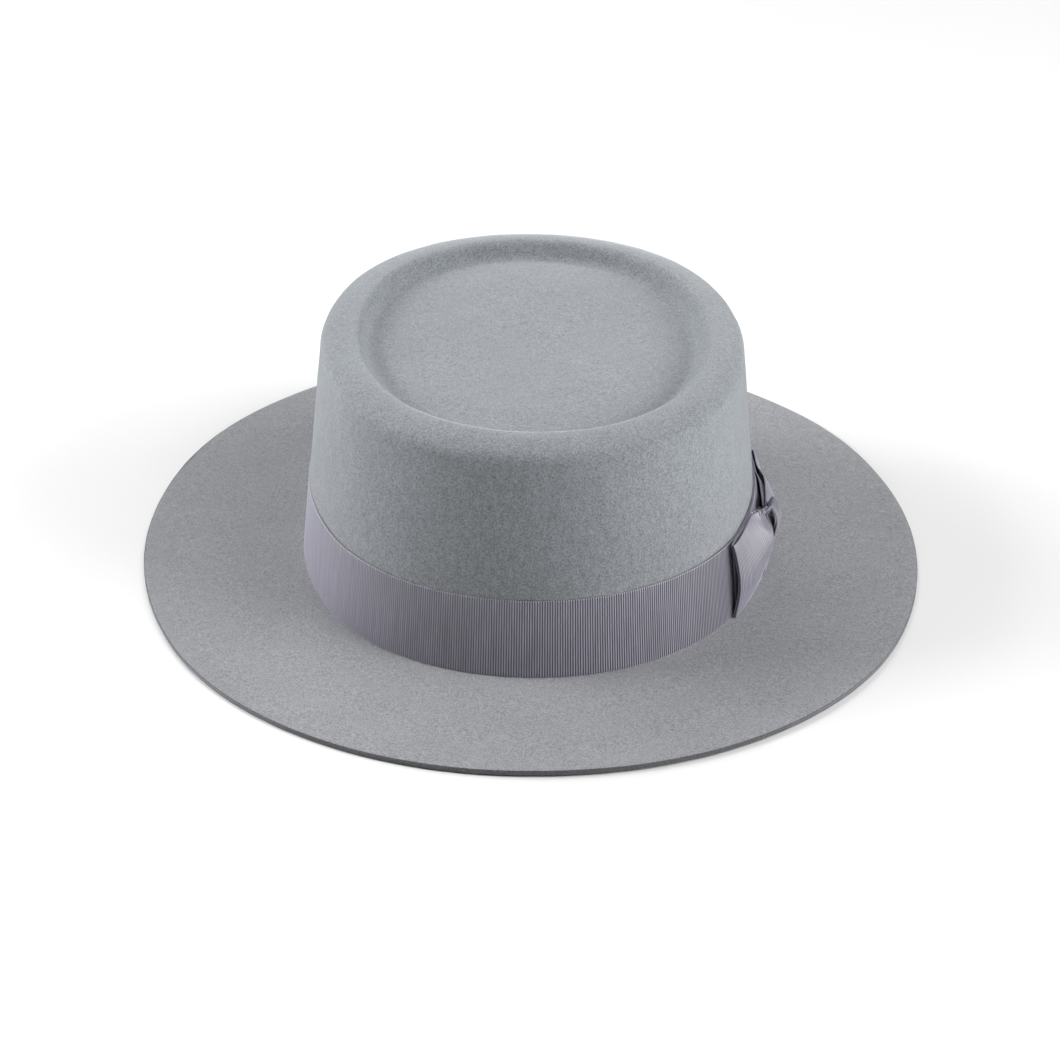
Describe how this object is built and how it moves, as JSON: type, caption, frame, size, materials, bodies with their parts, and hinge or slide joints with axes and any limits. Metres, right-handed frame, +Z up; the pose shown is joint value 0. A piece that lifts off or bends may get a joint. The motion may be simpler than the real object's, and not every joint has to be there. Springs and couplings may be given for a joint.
{
  "type": "felt hat",
  "caption": "Wide-brim felt hat with a sunken oval crown top, a ribbed ribbon band with a side bow, a leather sweatband and a satin lining.",
  "frame": {"origin": "middle of the brim's outline, on the table plane under the brim edge", "axes": "+Z up out of the crown, -Y towards the front of the hat, +X towards the wearer's left, where the bow is"},
  "size_m": [0.3046, 0.337, 0.0967],
  "materials": {
    "felt": "pale grey fur felt, short brushed nap",
    "ribbon": "purple-grey grosgrain with fine upright ribs",
    "ribbon_thread": "thread",
    "sweatband_leather": "smooth brown leather",
    "reed": "plastic cord",
    "cotton_tape": "woven cotton tape",
    "sweatband_thread": "thread",
    "braid": "thin satin braid",
    "lining": "satin",
    "lining_piping": "satin piping"
  },
  "bodies": {
    "root": {"felt_body": "felt", "ribbon_band": "ribbon", "band_tack_stitches": "ribbon_thread", "bow_backing": "ribbon", "bow_front_loop": "ribbon", "bow_back_loop": "ribbon", "bow_knot": "ribbon", "sweatband": "sweatband_leather", "sweatband_reed": "reed", "sweatband_reed_tape": "cotton_tape", "sweatband_stitches": "sweatband_thread", "sweatband_seam_patch": "sweatband_leather", "sweatband_rear_bow": "braid", "liner_side": "lining", "liner_tip": "lining", "liner_piping": "lining_piping"}
  },
  "joints": []
}
